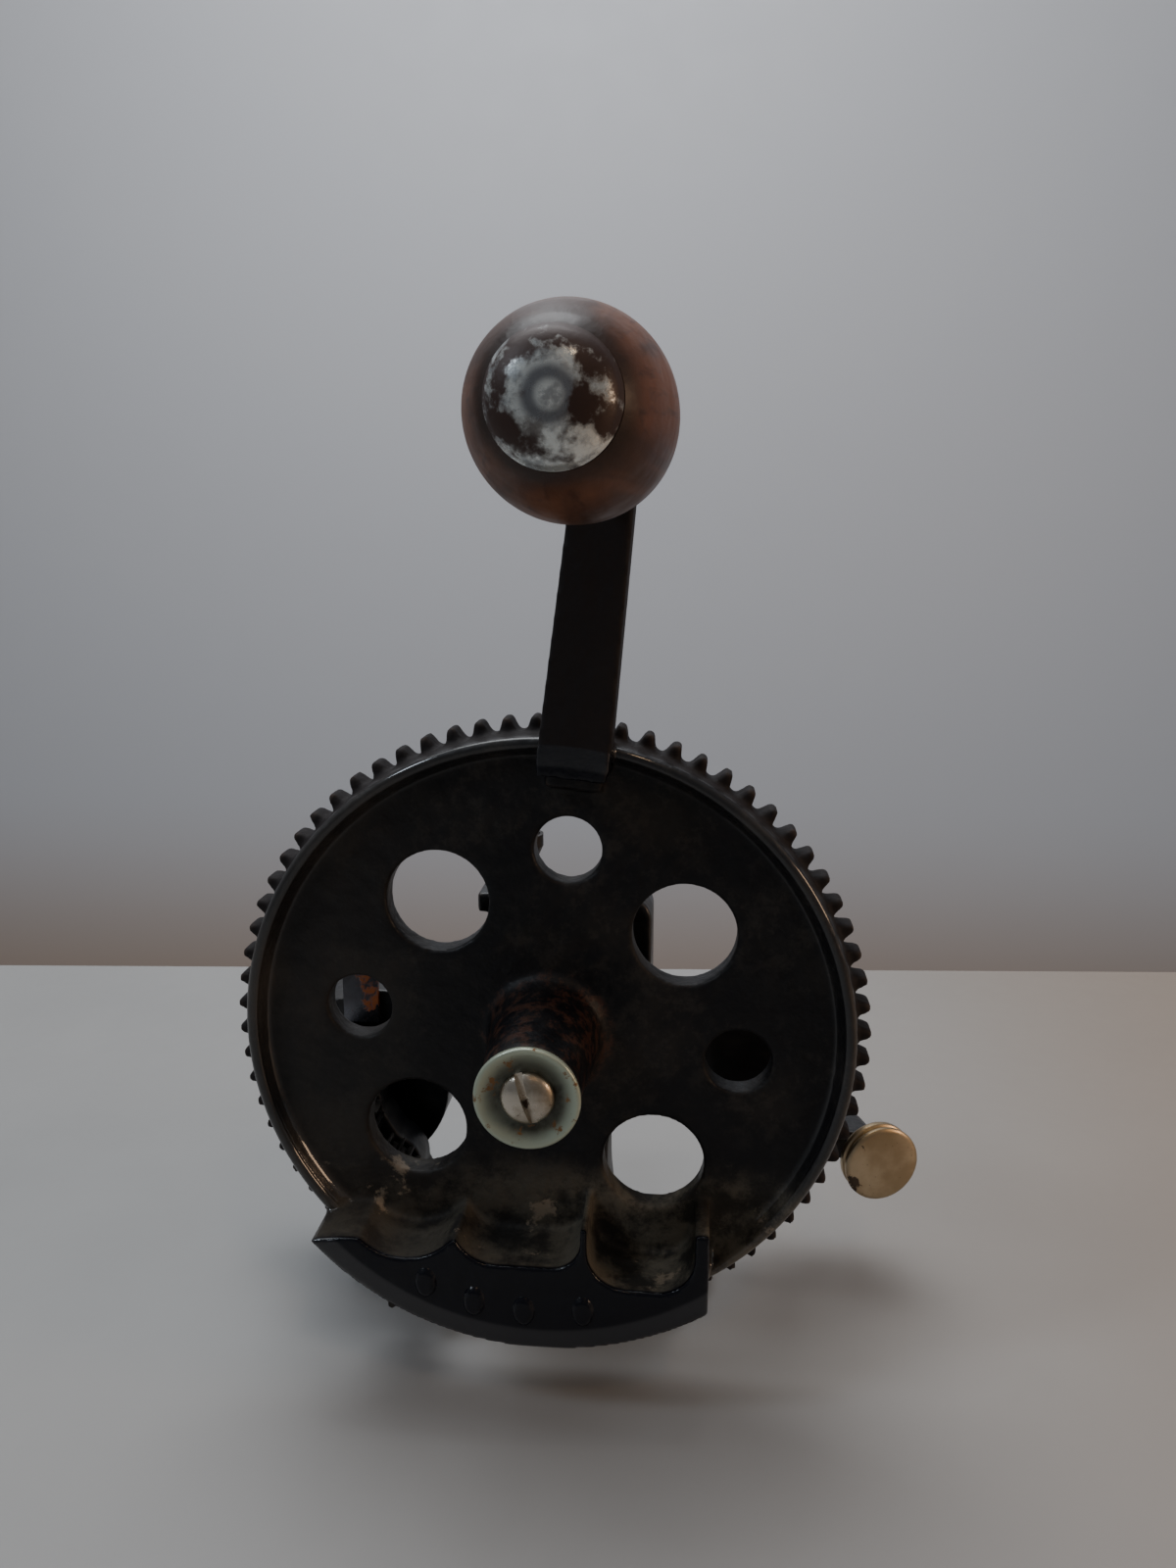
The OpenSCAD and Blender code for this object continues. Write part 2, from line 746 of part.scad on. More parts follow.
module carriage() {
    color(japan) difference() {
        union() {
            cross_bar(pencil_y, pencil_z, barrel_r, barrel_x0, barrel_x1);
            translate([plate_x0, 0, 0]) rotate([90, 0, 90])
                linear_extrude(barrel_x1 - plate_x0) plate_outline();
            translate([barrel_x1 - 1, 0, 0]) rotate([90, 0, 90])
                linear_extrude(knob_arm_x1 - barrel_x1 + 1) knob_arm_outline();
            knob_axis() translate([0, 0, -22]) cylinder(r = knob_boss_r, h = 12);
        }
        cross_bar(pencil_y, pencil_z, chuck_r + run_fit, barrel_x0 - 1, barrel_x1 + 1);
        for (z = rod_zs) cross_bar(rod_y, z, rod_r + press_fit, plate_x0 - 1, barrel_x1 - 2.5);
        for (z = rod_zs) cross_bar(rod_y, z, screw_r + press_fit, plate_x0 - 1, barrel_x1 + 1);
        knob_axis() translate([0, 0, -23]) cylinder(r = knob_stem_r + press_fit, h = 20);
    }
}

module guide_rods() {
    color(steel) for (z = rod_zs) difference() {
        cross_bar(rod_y, z, rod_r, rod_x0, barrel_x1 - 2.6);
        cross_bar(rod_y, z, screw_r + press_fit, barrel_x1 - 9, barrel_x1);
    }
}

module rod_screws() {
    color(steel) for (z = rod_zs) {
        cross_bar(rod_y, z, screw_r, barrel_x1 - 8, barrel_x1 + 0.1);
        difference() {
            cross_bar(rod_y, z, screw_head_r, barrel_x1, barrel_x1 + 1.8);
            translate([barrel_x1 + 1, rod_y - 4, z - 0.4]) cube([2, 8, 0.8]);
        }
    }
}

module knob_stem() {
    color(nickel) knob_axis() translate([0, 0, -21.8]) cylinder(r = knob_stem_r, h = 17.8);
}

module pull_knob() {
    color(nickel) knob_axis() difference() {
        rotate_extrude()
            polygon([
                [0, -8.9], [4, -8.9], [4, -6.2], [9.3, -5.8], [10.2, -5.2], [10.2, -3.6], [8.8, -3.1],
                [8.8, -2.1], [10.2, -1.7], [10.5, -1], [10.4, -0.4], [9.6, 0], [0, 0.4]
            ]);
        translate([0, 0, -10]) cylinder(r = knob_stem_r + press_fit, h = 6.1);
    }
}

module chuck_tube() {
    color(steel) difference() {
        union() {
            cross_bar(pencil_y, pencil_z, chuck_r, chuck_x0 + 3, chuck_x1 - 2);
            cross_bar(pencil_y, pencil_z, 10, chuck_x0 + 3, barrel_x0 - end_play);
            cross_bar(pencil_y, pencil_z, 9.6, barrel_x1 + end_play, barrel_x1 + 2);
        }
        cross_bar(pencil_y, pencil_z, pencil_bore_r, chuck_x0 - 10, chuck_x1 + 10);
    }
}

module chuck_jaws() {
    color(steel) difference() {
        cross_bar(pencil_y, pencil_z, 7.6, chuck_x0 - 3, chuck_x0 + 3);
        cross_bar(pencil_y, pencil_z, pencil_bore_r, chuck_x0 - 10, chuck_x0 + 10);
        for (k = [0 : 2]) translate([0, pencil_y, pencil_z]) rotate([120 * k, 0, 0])
            translate([chuck_x0 - 4, -0.5, 0]) cube([8, 1, 12]);
    }
}

module collet_nut() {
    ribs = 36;
    step = 180 / ribs;
    color(nickel) difference() {
        union() {
            translate([barrel_x1 + 2.3, pencil_y, pencil_z]) rotate([0, 90, 0]) linear_extrude(7)
                polygon([
                    for (k = [0 : 2 * ribs - 1]) (k % 2 == 0 ? 10.6 : 10) * [cos(step * k), sin(step * k)]
                ]);
            cross_bar(pencil_y, pencil_z, 9.4, barrel_x1 + 9, chuck_x1);
        }
        cross_bar(pencil_y, pencil_z, chuck_r + run_fit, barrel_x1, chuck_x1 - 1.5);
        cross_bar(pencil_y, pencil_z, pencil_bore_r + 0.3, barrel_x1, chuck_x1 + 4);
    }
}

frame_casting();
stub_axle();
axle_washer();
axle_nut();
cup_washer();
axle_screw();
oil_cup();
lay_bush();
spindle_bush();
idler_stud();
cutter_guard();
guard_screws();
lid_pin();
chip_plate();
chip_plate_screw();
crank_wheel();
hub_bush();
grip_spindle();
grip_washer();
grip_cap();
crank_grip();
lay_shaft();
wheel_pinion();
lay_gear();
lay_collar();
cutter_spindle();
spindle_gear();
milling_cutter();
cutter_nut();
idler_gear();
guard_lid();
lid_knob();
carriage();
guide_rods();
rod_screws();
knob_stem();
pull_knob();
chuck_tube();
chuck_jaws();
collet_nut();
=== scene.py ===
"""Looks of the hand-cranked pencil pointing machine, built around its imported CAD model."""

import json
import logging
import math
from dataclasses import dataclass
from enum import Enum
from itertools import pairwise
from typing import NamedTuple, Sequence

import bpy
from mathutils import Matrix, Vector

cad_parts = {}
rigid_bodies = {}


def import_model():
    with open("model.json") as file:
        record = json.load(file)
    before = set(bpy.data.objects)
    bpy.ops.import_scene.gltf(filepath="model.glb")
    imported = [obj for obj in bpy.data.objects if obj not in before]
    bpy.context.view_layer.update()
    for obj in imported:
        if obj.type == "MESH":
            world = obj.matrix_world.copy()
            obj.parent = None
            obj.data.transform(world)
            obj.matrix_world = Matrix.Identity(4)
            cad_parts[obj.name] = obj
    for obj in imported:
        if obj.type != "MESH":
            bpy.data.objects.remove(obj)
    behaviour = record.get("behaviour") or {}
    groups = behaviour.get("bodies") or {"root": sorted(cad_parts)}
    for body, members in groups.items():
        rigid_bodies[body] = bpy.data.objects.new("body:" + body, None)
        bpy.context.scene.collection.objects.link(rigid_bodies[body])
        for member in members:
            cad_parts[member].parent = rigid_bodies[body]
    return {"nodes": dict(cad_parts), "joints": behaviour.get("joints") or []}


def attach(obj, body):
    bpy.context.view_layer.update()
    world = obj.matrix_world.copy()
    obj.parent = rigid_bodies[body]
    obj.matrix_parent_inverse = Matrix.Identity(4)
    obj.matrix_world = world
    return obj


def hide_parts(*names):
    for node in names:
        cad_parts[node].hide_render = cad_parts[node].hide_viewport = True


log = logging.getLogger("pencil_machine")

MM = 0.001

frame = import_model()

Colour = tuple[float, float, float]
Profile = Sequence[tuple[float, float]]
Socket = bpy.types.NodeSocket


class Slot(Enum):
    """The record's material slots."""

    JAPAN = "japanned_iron"
    WHEEL = "wheel_iron"
    STEEL = "steel"
    NICKEL = "nickel"
    WOOD = "wood"


class Body(Enum):
    """The bodies of the machine."""

    FRAME = "frame"
    CRANK = "crank"
    GRIP = "grip"
    CARRIAGE = "carriage"
    LID = "lid"


class Axis(Enum):
    """The axes that a pattern is measured along."""

    X = "X"
    Y = "Y"
    Z = "Z"


# ---- finishes ----


class FinishSheet:
    """A new material with the node tools that the finishes share."""

    def __init__(self, name: str) -> None:
        """Starts the material with its shader and the piece's own coordinates.

        Args:
            name: The material's name.
        """
        self.material = bpy.data.materials.new(name)
        self.material.use_nodes = True
        self.nodes = self.material.node_tree.nodes
        self.links = self.material.node_tree.links
        self.shader = self.nodes["Principled BSDF"]
        self.place: Socket = self.nodes.new("ShaderNodeTexCoord").outputs["Object"]

    def plug(self, socket: Socket, value: "Socket | float | Sequence[float]") -> None:
        """Joins a socket to another, or sets its constant.

        Args:
            socket: The input to feed.
            value: An output socket, or a constant.
        """
        if isinstance(value, bpy.types.NodeSocket):
            self.links.new(value, socket)
        else:
            socket.default_value = value

    def stretched(self, scale: Sequence[float], shift: Sequence[float] = (0, 0, 0)) -> Socket:
        """Gives the coordinates stretched and moved.

        Args:
            scale: How much finer the pattern gets along each axis.
            shift: How far the pattern moves, in metres.

        Returns:
            The new coordinates.
        """
        mapping = self.nodes.new("ShaderNodeMapping")
        self.plug(mapping.inputs["Vector"], self.place)
        mapping.inputs["Scale"].default_value = scale
        mapping.inputs["Location"].default_value = shift
        return mapping.outputs["Vector"]

    def grain(self, scale: float, detail: float = 4, rough: float = 0.55, place: "Socket | None" = None,
              distortion: float = 0) -> Socket:
        """Gives cloudy noise.

        Args:
            scale: Patches to a metre.
            detail: How many finer layers it has.
            rough: How strong the finer layers are.
            place: Coordinates, the piece's own if left out.
            distortion: How much the patches are bent.

        Returns:
            The noise, about 0.3 to 0.7.
        """
        noise = self.nodes.new("ShaderNodeTexNoise")
        self.plug(noise.inputs["Vector"], place or self.place)
        for socket, value in (("Scale", scale), ("Detail", detail), ("Roughness", rough),
                              ("Distortion", distortion)):
            noise.inputs[socket].default_value = value
        return noise.outputs["Fac"]

    def specks(self, scale: float) -> Socket:
        """Gives the distance to the nearest of many scattered points.

        Args:
            scale: Points to a metre.

        Returns:
            The distance, 0 at a point.
        """
        cells = self.nodes.new("ShaderNodeTexVoronoi")
        self.plug(cells.inputs["Vector"], self.place)
        cells.inputs["Scale"].default_value = scale
        return cells.outputs["Distance"]

    def ramp(self, value: Socket, low: float, high: float, start: float = 0, end: float = 1) -> Socket:
        """Gives a smooth step between two levels of a value.

        Args:
            value: The value that is read.
            low: The level where the step starts.
            high: The level where it ends.
            start: What it gives below the step.
            end: What it gives above the step.

        Returns:
            The stepped value.
        """
        step = self.nodes.new("ShaderNodeMapRange")
        step.interpolation_type = "SMOOTHSTEP"
        self.plug(step.inputs["Value"], value)
        for socket, level in (("From Min", low), ("From Max", high), ("To Min", start), ("To Max", end)):
            step.inputs[socket].default_value = level
        return step.outputs["Result"]

    def sum(self, operation: str, first: "Socket | float", second: "Socket | float") -> Socket:
        """Works out two values with a Math node.

        Args:
            operation: The Math node's operation.
            first: The first value.
            second: The second value.

        Returns:
            The result, kept from 0 to 1.
        """
        maths = self.nodes.new("ShaderNodeMath")
        maths.operation = operation
        maths.use_clamp = True
        self.plug(maths.inputs[0], first)
        self.plug(maths.inputs[1], second)
        return maths.outputs[0]

    def both(self, first: "Socket | float", second: "Socket | float") -> Socket:
        """Gives the product of two masks."""
        return self.sum("MULTIPLY", first, second)

    def either(self, first: "Socket | float", second: "Socket | float") -> Socket:
        """Gives the stronger of two masks."""
        return self.sum("MAXIMUM", first, second)

    def plus(self, first: "Socket | float", second: "Socket | float") -> Socket:
        """Gives two masks added up."""
        return self.sum("ADD", first, second)

    def outside(self, mask: Socket) -> Socket:
        """Gives all that a mask leaves out."""
        return self.sum("SUBTRACT", 1, mask)

    def blend(self, amount: Socket, first: "Socket | Colour", second: "Socket | Colour") -> Socket:
        """Blends two colours.

        Args:
            amount: The share of the second colour.
            first: The first colour.
            second: The second colour.

        Returns:
            The blended colour.
        """
        mix = self.nodes.new("ShaderNodeMix")
        mix.data_type = "RGBA"
        self.plug(mix.inputs["Factor"], amount)
        for socket, colour in (("A", first), ("B", second)):
            target = [s for s in mix.inputs if s.name == socket and s.type == "RGBA"][0]
            self.plug(target, colour if isinstance(colour, bpy.types.NodeSocket) else (*colour, 1))
        return [s for s in mix.outputs if s.type == "RGBA"][0]

    def along(self, axis: Axis) -> Socket:
        """Gives a point's place along an axis, in metres."""
        parts = self.nodes.new("ShaderNodeSeparateXYZ")
        self.plug(parts.inputs[0], self.place)
        return parts.outputs[axis.value]

    def beyond(self, axis: Axis, low: float, high: float) -> Socket:
        """Gives 0 below one place along an axis and 1 above another.

        Args:
            axis: The axis.
            low: Where the change starts, in metres.
            high: Where it ends.

        Returns:
            The mask.
        """
        return self.ramp(self.along(axis), low, high)

    def radius(self, centre: Vector) -> Socket:
        """Gives the distance from a line along Y.

        Args:
            centre: A point that the line goes through.

        Returns:
            The distance in metres.
        """
        away = self.nodes.new("ShaderNodeVectorMath")
        away.operation = "SUBTRACT"
        self.plug(away.inputs[0], self.place)
        away.inputs[1].default_value = centre
        flat = self.nodes.new("ShaderNodeVectorMath")
        flat.operation = "MULTIPLY"
        self.plug(flat.inputs[0], away.outputs[0])
        flat.inputs[1].default_value = (1, 0, 1)
        length = self.nodes.new("ShaderNodeVectorMath")
        length.operation = "LENGTH"
        self.plug(length.inputs[0], flat.outputs[0])
        return length.outputs["Value"]

    def worn_edges(self) -> Socket:
        """Gives 1 on sharp outer edges."""
        geometry = self.nodes.new("ShaderNodeNewGeometry")
        return self.ramp(geometry.outputs["Pointiness"], 0.52, 0.6)

    def rough(self, value: Socket) -> None:
        """Feeds the shader's roughness."""
        self.plug(self.shader.inputs["Roughness"], value)

    def colour(self, value: Socket) -> None:
        """Feeds the shader's base colour."""
        self.plug(self.shader.inputs["Base Color"], value)

    def metal(self, value: "Socket | float") -> None:
        """Feeds or sets how metallic the surface is."""
        self.plug(self.shader.inputs["Metallic"], value)

    def dim(self, level: float) -> None:
        """Sets how strongly the surface shines."""
        self.shader.inputs["Specular IOR Level"].default_value = level

    def coat(self, weight: "Socket | float", rough: float) -> None:
        """Sets a clear coat.

        Args:
            weight: The coat's strength.
            rough: The coat's roughness.
        """
        self.plug(self.shader.inputs["Coat Weight"], weight)
        self.shader.inputs["Coat Roughness"].default_value = rough

    def bumps(self, *layers: tuple[Socket, float]) -> None:
        """Makes the surface uneven.

        Args:
            layers: Each a height from 0 to 1 and how many metres 1 stands for.
        """
        normal = None
        for height, depth in layers:
            bump = self.nodes.new("ShaderNodeBump")
            bump.inputs["Strength"].default_value = 1
            bump.inputs["Distance"].default_value = depth
            self.plug(bump.inputs["Height"], height)
            if normal is not None:
                self.plug(bump.inputs["Normal"], normal)
            normal = bump.outputs["Normal"]
        self.plug(self.shader.inputs["Normal"], normal)


class WheelZones(NamedTuple):
    """Masks for the parts of the crank wheel that look different."""

    teeth: Socket
    rim: Socket
    walls: Socket
    shiny: Socket


@dataclass(frozen=True)
class WheelJapan:
    """Old black japan on the crank wheel: dusty on the web, glossy on arm and weight, bare on the teeth."""

    axle: Vector
    weight_face: float
    web_face: float
    scallop_top: float
    tooth_root_r: float = 0.0693
    rim_r: float = 0.0645
    arm_r: float = 0.0595
    arm_above: float = 0.03
    hub_r: float = 0.0165
    black: Colour = (0.0026, 0.0026, 0.0038)
    glossy: Colour = (0.0016, 0.002, 0.005)
    dust: Colour = (0.034, 0.029, 0.024)
    # Olive-brown grime of the scallop walls, also used as painted light on the right scallop.
    grime_and_painted_light: Colour = (0.1, 0.088, 0.066)
    tan: Colour = (0.2, 0.16, 0.115)
    rust: Colour = (0.05, 0.02, 0.012)
    tooth: Colour = (0.01, 0.007, 0.007)
    worn: Colour = (0.07, 0.046, 0.034)

    def zones(self, sheet: FinishSheet, radius: Socket) -> WheelZones:
        """Finds the wheel's teeth, rim, scallop walls and glossy faces.

        Args:
            sheet: The finish.
            radius: The distance from the axle.

        Returns:
            Their masks.
        """
        teeth = sheet.ramp(radius, self.tooth_root_r, self.tooth_root_r + 0.0008)
        rim = sheet.both(sheet.ramp(radius, self.rim_r, self.rim_r + 0.0015), sheet.outside(teeth))
        proud = sheet.outside(sheet.beyond(Axis.Y, self.weight_face + 0.0004, self.weight_face + 0.0016))
        low = sheet.outside(sheet.beyond(Axis.Z, self.scallop_top - 0.006, self.scallop_top + 0.006))
        arm = sheet.both(sheet.ramp(radius, self.arm_r, self.arm_r + 0.003),
                         sheet.outside(sheet.beyond(Axis.Y, self.web_face - 0.0055, self.web_face - 0.004)))
        high = self.axle.z + self.arm_above
        arm = sheet.both(arm, sheet.beyond(Axis.Z, high, high + 0.02))
        return WheelZones(teeth, rim, sheet.both(low, sheet.outside(proud)),
                          sheet.plus(arm, sheet.both(proud, low)))

    def pigment(self, sheet: FinishSheet, radius: Socket, cloud: Socket, zones: WheelZones) -> Socket:
        """Lays dust, rust and grime over the black, with painted light that makes the left side and the right
        scallop walls paler.

        Args:
            sheet: The finish.
            radius: The distance from the axle.
            cloud: Broad noise.
            zones: The wheel's masks.

        Returns:
            The colour.
        """
        along_x = sheet.along(Axis.X)
        specks = sheet.ramp(sheet.grain(260, 6, 0.75), 0.47, 0.62)
        # Dust and painted light: more dust colour towards the left, so the left side reads paler, as if lit
        # from there.
        left_dust_and_light = sheet.ramp(along_x, -0.058, -0.012, 0.62, 0)
        colour = sheet.blend(sheet.ramp(cloud, 0.46, 0.66, 0, 0.4), self.black, self.dust)
        colour = sheet.blend(sheet.both(specks, sheet.ramp(cloud, 0.38, 0.6, 0.08, 0.5)), colour, self.dust)
        colour = sheet.blend(sheet.both(left_dust_and_light, sheet.ramp(cloud, 0.3, 0.6, 0.3, 1)), colour, self.dust)
        hub = sheet.both(sheet.ramp(radius, self.hub_r - 0.002, self.hub_r, 0.75, 0), specks)
        colour = sheet.blend(hub, colour, self.rust)
        grime_and_painted_light = sheet.ramp(sheet.grain(75, 6, 0.72), 0.42, 0.6, 0.18, 1)
        # Painted light: the grime grows stronger towards the right, so the right scallop walls read lighter,
        # as if better lit.
        grime_and_painted_light = sheet.both(grime_and_painted_light, sheet.ramp(along_x, -0.03, 0.02, 0.42, 1))
        colour = sheet.blend(sheet.both(zones.walls, grime_and_painted_light), colour, self.grime_and_painted_light)
        spots = sheet.grain(85, 5, 0.72, sheet.stretched((1, 1, 1), (0.23, 0, 0.11)))
        colour = sheet.blend(sheet.both(zones.walls, sheet.ramp(spots, 0.6, 0.68)), colour, self.tan)
        colour = sheet.blend(zones.shiny, colour, self.glossy)
        colour = sheet.blend(zones.teeth, colour, self.tooth)
        wear = sheet.both(sheet.worn_edges(), sheet.ramp(sheet.grain(160), 0.45, 0.6, 0.05, 0.7))
        return sheet.blend(sheet.both(wear, sheet.outside(zones.shiny)), colour, self.worn)

    def dress(self) -> bpy.types.Material:
        """Builds the material."""
        sheet = FinishSheet("wheel_japan")
        radius = sheet.radius(self.axle)
        zones = self.zones(sheet, radius)
        cloud = sheet.grain(38, 5, 0.62)
        sheet.colour(self.pigment(sheet, radius, cloud, zones))
        matt = sheet.both(sheet.ramp(cloud, 0.35, 0.65, 0.4, 0.6), sheet.ramp(zones.shiny, 0, 1, 1, 0.42))
        sheet.rough(sheet.either(matt, sheet.both(sheet.either(zones.walls, zones.teeth), 0.72)))
        sheet.coat(sheet.ramp(zones.rim, 0, 1, 0, 0.9), 0.07)
        sheet.dim(0.27)
        sheet.bumps((sheet.grain(150, 3, 0.5), 0.0008), (sheet.grain(420, 3, 0.6), 0.00018))
        return sheet.material


@dataclass(frozen=True)
class Japan:
    """Black japan on the other castings."""

    black: Colour = (0.0058, 0.0058, 0.0072)
    dust: Colour = (0.045, 0.039, 0.031)
    worn: Colour = (0.07, 0.05, 0.038)

    def dress(self) -> bpy.types.Material:
        """Builds the material."""
        sheet = FinishSheet("black_japan")
        cloud = sheet.grain(45, 5, 0.62)
        colour = sheet.blend(sheet.ramp(cloud, 0.46, 0.68, 0, 0.5), self.black, self.dust)
        wear = sheet.both(sheet.worn_edges(), sheet.ramp(sheet.grain(140), 0.42, 0.6, 0.1, 0.9))
        sheet.colour(sheet.blend(wear, colour, self.worn))
        sheet.rough(sheet.ramp(cloud, 0.35, 0.65, 0.3, 0.52))
        sheet.bumps((sheet.grain(150, 3, 0.5), 0.0005), (sheet.grain(420, 3, 0.6), 0.0001))
        return sheet.material


@dataclass(frozen=True)
class StainedWood:
    """Red-brown stained wood under old shellac."""

    middle: Vector
    cap_face: float
    light: Colour = (0.17, 0.068, 0.034)
    dark: Colour = (0.05, 0.0195, 0.0105)
    # Near-black colour of the painted shade on the wood around the cap.
    grime_and_painted_light: Colour = (0.012, 0.006, 0.004)

    def dress(self) -> bpy.types.Material:
        """Builds the material."""
        sheet = FinishSheet("stained_wood")
        fibre = sheet.grain(520, 4, 0.6, sheet.stretched((1, 0.09, 1)), 0.4)
        broad = sheet.grain(70, 3, 0.5, sheet.stretched((1, 0.25, 1)), 0.8)
        colour = sheet.blend(sheet.ramp(broad, 0.38, 0.64), self.dark, self.light)
        colour = sheet.blend(sheet.ramp(fibre, 0.5, 0.72, 0, 0.75), colour, self.dark)
        behind = sheet.beyond(Axis.Y, self.cap_face + 0.006, self.cap_face + 0.02)
        # Painted shade: the wood's nose next to the cap is darkened almost to black.
        cap_ring_shade = sheet.ramp(sheet.radius(self.middle), 0.0092, 0.0125, 0.85, 0)
        sheet.colour(sheet.blend(sheet.both(cap_ring_shade, sheet.outside(behind)), colour, self.grime_and_painted_light))
        sheet.rough(sheet.ramp(sheet.grain(110, 4), 0.35, 0.65, 0.4, 0.56))
        sheet.coat(0.12, 0.3)
        sheet.dim(0.3)
        sheet.bumps((fibre, 0.00012), (sheet.grain(160, 2), 0.0003))
        return sheet.material


@dataclass(frozen=True)
class Plating:
    """Old plating that shows stains, patches of rust and pits."""

    name: str
    bright: Colour
    stain: Colour
    patch: Colour
    patch_share: tuple[float, float] = (0.6, 0.68)
    patch_scale: float = 120
    speck_r: float = 0.09
    rough_low: float = 0.14
    rough_high: float = 0.38

    def dress(self) -> bpy.types.Material:
        """Builds the material."""
        sheet = FinishSheet(self.name)
        cloud = sheet.grain(self.patch_scale * 0.6, 5, 0.6)
        rust = sheet.ramp(sheet.grain(self.patch_scale, 6, 0.68, distortion=0.3), *self.patch_share)
        colour = sheet.blend(sheet.ramp(cloud, 0.42, 0.66), self.bright, self.stain)
        colour = sheet.blend(rust, colour, self.patch)
        pits = sheet.ramp(sheet.specks(900), self.speck_r * 0.5, self.speck_r, 1, 0)
        pits = sheet.both(pits, sheet.ramp(sheet.grain(240), 0.5, 0.56))
        sheet.colour(sheet.blend(pits, colour, self.patch))
        dull = sheet.either(rust, pits)
        sheet.metal(sheet.ramp(dull, 0, 1, 1, 0.15))
        shine = sheet.ramp(cloud, 0.35, 0.68, self.rough_low, self.rough_high)
        sheet.rough(sheet.either(shine, sheet.ramp(dull, 0, 1, 0, 0.6)))
        sheet.bumps((sheet.grain(self.patch_scale * 3, 4), 0.00005), (dull, 0.00004))
        return sheet.material


@dataclass(frozen=True)
class CutMetal:
    """Turned or cut bare metal."""

    name: str
    bright: Colour
    dark: Colour
    rough_low: float = 0.28
    rough_high: float = 0.45

    def dress(self) -> bpy.types.Material:
        """Builds the material."""
        sheet = FinishSheet(self.name)
        tarnish = sheet.grain(130, 5, 0.6)
        marks = sheet.grain(1500, 3, 0.6)
        sheet.colour(sheet.blend(sheet.ramp(tarnish, 0.4, 0.68), self.bright, self.dark))
        sheet.metal(1)
        sheet.rough(sheet.ramp(marks, 0.3, 0.7, self.rough_low, self.rough_high))
        sheet.bumps((marks, 0.00002))
        return sheet.material


SCREW_NICKEL = Plating("screw_nickel", (0.55, 0.5, 0.42), (0.33, 0.28, 0.21), (0.07, 0.04, 0.022),
                       patch_share=(0.6, 0.66), patch_scale=260, rough_low=0.22, rough_high=0.42)
KNOB_NICKEL = Plating("knob_nickel", (0.52, 0.41, 0.27), (0.36, 0.27, 0.16), (0.05, 0.035, 0.022),
                      patch_share=(0.6, 0.64), patch_scale=85, speck_r=0.14, rough_low=0.28, rough_high=0.4)
DULL_NICKEL = Plating("dull_nickel", (0.5, 0.48, 0.43), (0.3, 0.28, 0.24), (0.3, 0.1, 0.03),
                      patch_share=(0.6, 0.68), rough_low=0.24, rough_high=0.42)
PLATE_NICKEL = Plating("plate_nickel", (0.17, 0.175, 0.2), (0.1, 0.095, 0.1), (0.4, 0.11, 0.03),
                       patch_share=(0.5, 0.56), patch_scale=70, rough_low=0.24, rough_high=0.42)
STEEL = CutMetal("turned_steel", (0.33, 0.33, 0.34), (0.12, 0.105, 0.09))
OILY_STEEL = CutMetal("oily_steel", (0.06, 0.055, 0.05), (0.02, 0.017, 0.015), 0.3, 0.5)
CUTTER_STEEL = CutMetal("cutter_steel", (0.3, 0.3, 0.31), (0.13, 0.12, 0.11), 0.22, 0.36)
BRASS = CutMetal("dull_brass", (0.42, 0.28, 0.1), (0.17, 0.1, 0.035), 0.3, 0.48)


@dataclass(frozen=True)
class CapNickel:
    """The grip cap's plating, bright in the middle and below, brown with rust at the right and above; its
    bright colour is partly a painted reflection of a bright room.
    """

    axle: Vector
    # Nickel's colour raised to a pale bluish white as a painted reflection of a bright room.
    bright: Colour = (0.72, 0.76, 0.74)
    grey: Colour = (0.2, 0.21, 0.225)
    rust: Colour = (0.036, 0.016, 0.011)
    edge_r: float = 0.0088

    def dress(self) -> bpy.types.Material:
        """Builds the material."""
        sheet = FinishSheet("cap_nickel")
        radius = sheet.radius(self.axle)
        cloud = sheet.grain(190, 5, 0.6)
        fine = sheet.grain(420, 5, 0.7)
        right = sheet.beyond(Axis.X, self.axle.x + 0.001, self.axle.x + 0.0045)
        high = sheet.beyond(Axis.Z, self.axle.z + 0.003, self.axle.z + 0.006)
        edge = sheet.ramp(radius, self.edge_r * 0.52, self.edge_r * 0.82)
        brown = sheet.either(edge, sheet.either(right, high))
        above = sheet.ramp(sheet.along(Axis.Z), self.axle.z - 0.006, self.axle.z - 0.003, 0.1, 0.42)
        stain = sheet.plus(sheet.ramp(cloud, 0.3, 0.7, 0, 0.6), sheet.both(brown, above))
        rust = sheet.ramp(stain, 0.38, 0.68)
        ring = sheet.both(sheet.ramp(radius, 0.001, 0.0024), sheet.ramp(radius, 0.0028, 0.0044, 1, 0))
        dull = sheet.either(sheet.ramp(fine, 0.44, 0.62, 0, 0.7), ring)
        colour = sheet.blend(dull, self.bright, self.grey)
        sheet.colour(sheet.blend(rust, colour, self.rust))
        # Less metallic where bright, so the raised colour shows as painted reflection.
        sheet.metal(sheet.ramp(rust, 0, 1, 0.6, 0.2))
        shine = sheet.ramp(fine, 0.35, 0.65, 0.16, 0.34)
        sheet.rough(sheet.either(shine, sheet.ramp(rust, 0, 1, 0, 0.5)))
        sheet.bumps((cloud, 0.0001), (fine, 0.00006))
        return sheet.material


